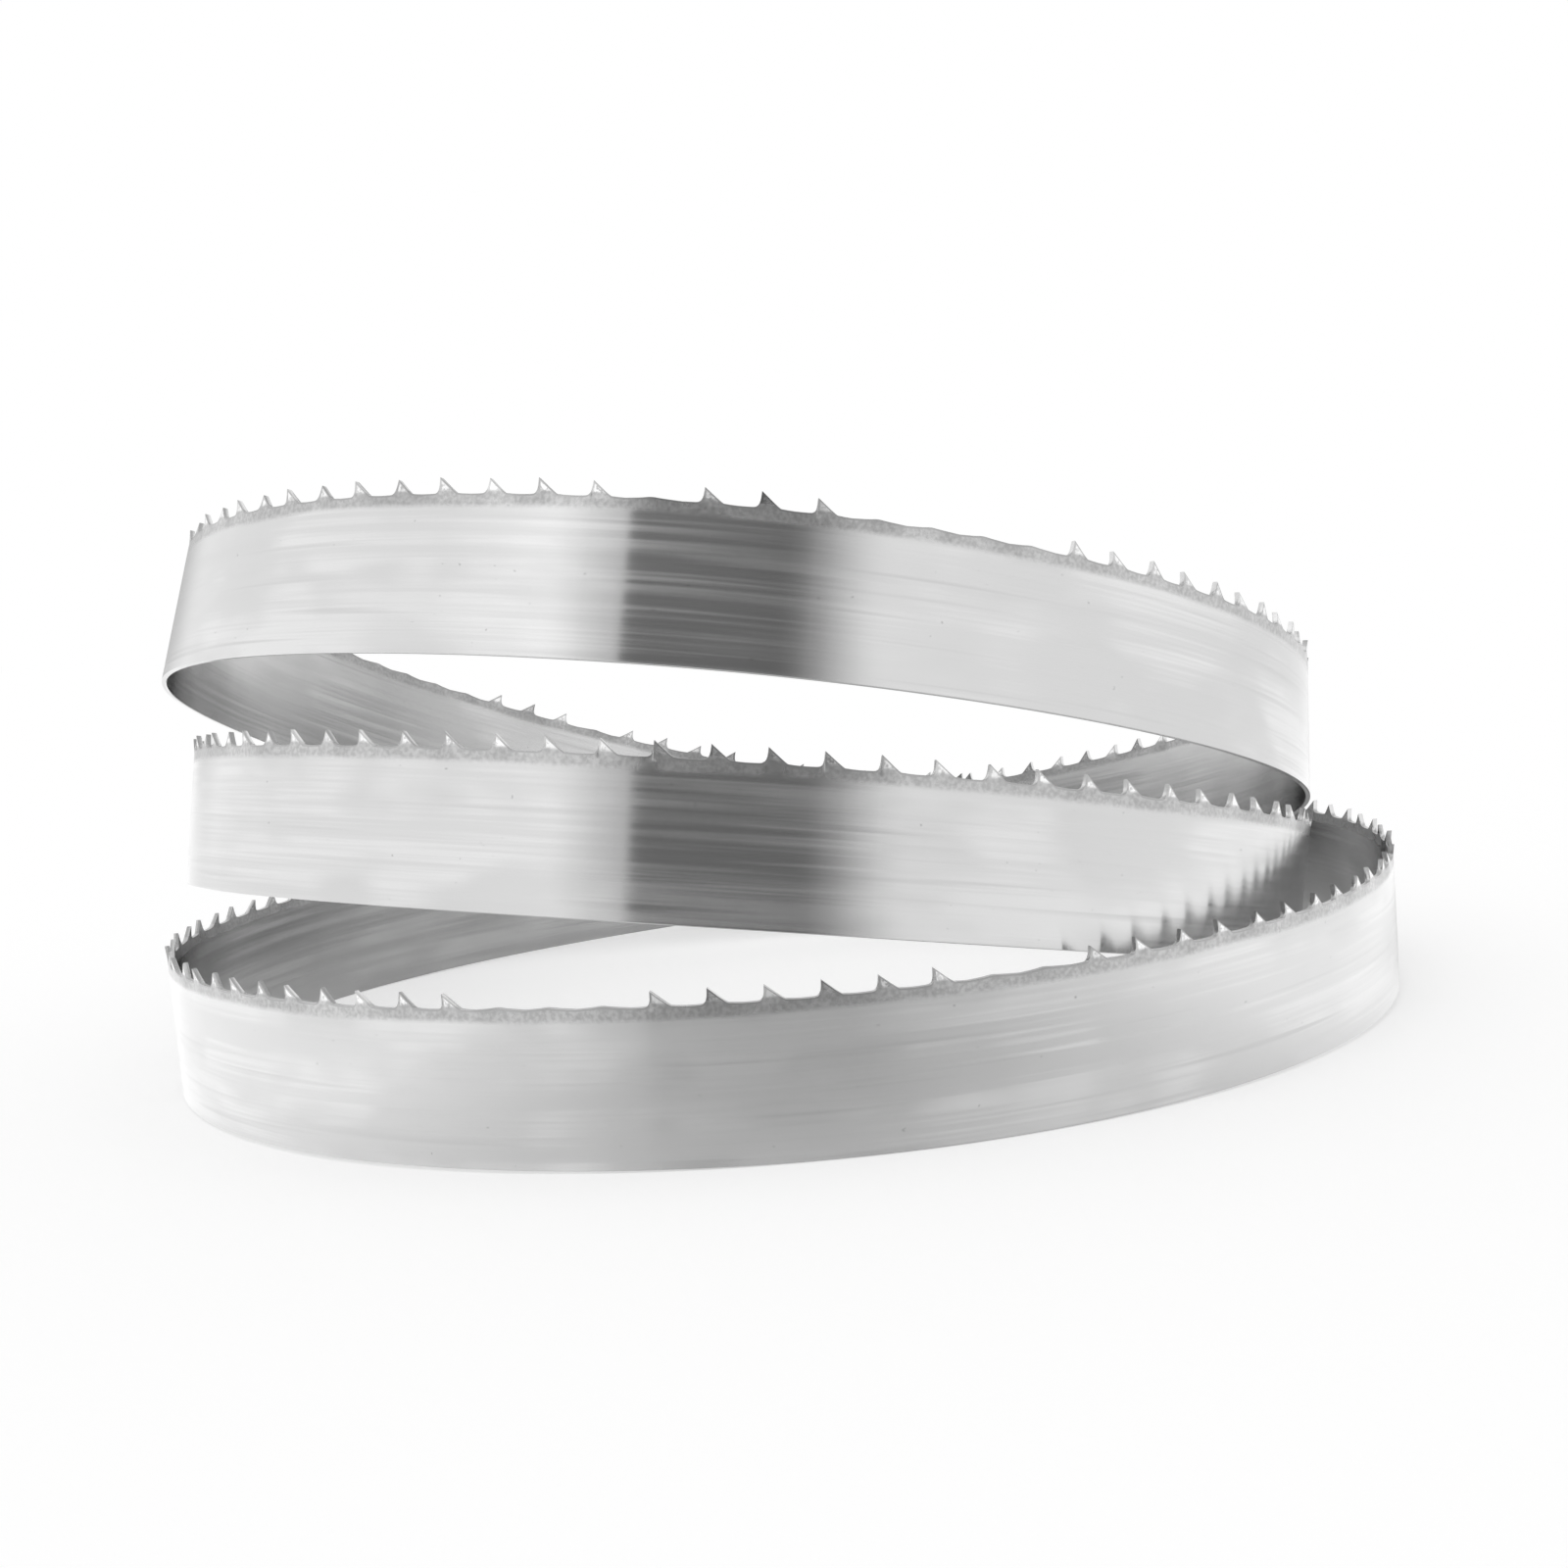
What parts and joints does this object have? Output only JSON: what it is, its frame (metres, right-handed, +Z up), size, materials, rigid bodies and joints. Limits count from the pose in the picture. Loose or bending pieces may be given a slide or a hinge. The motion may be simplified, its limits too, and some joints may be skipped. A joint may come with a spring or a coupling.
{
  "type": "band saw blade",
  "caption": "Endless toothed steel band, coiled in three leaning loops that stand on the back edge; worn, with some teeth stripped off.",
  "frame": {"origin": "middle of the coil's footprint box, on the table that the lowest loop stands on", "axes": "+Z up from the table and +Y from the side that the picture shows to the far side, so the picture looks along +Y from the front and a little from the left"},
  "size_m": [0.2376, 0.2406, 0.1064],
  "materials": {
    "blade_steel": "brushed lengthwise, darker and duller along the hardened toothed edge"
  },
  "bodies": {
    "root": {"toothed_band": "blade_steel"}
  },
  "joints": []
}
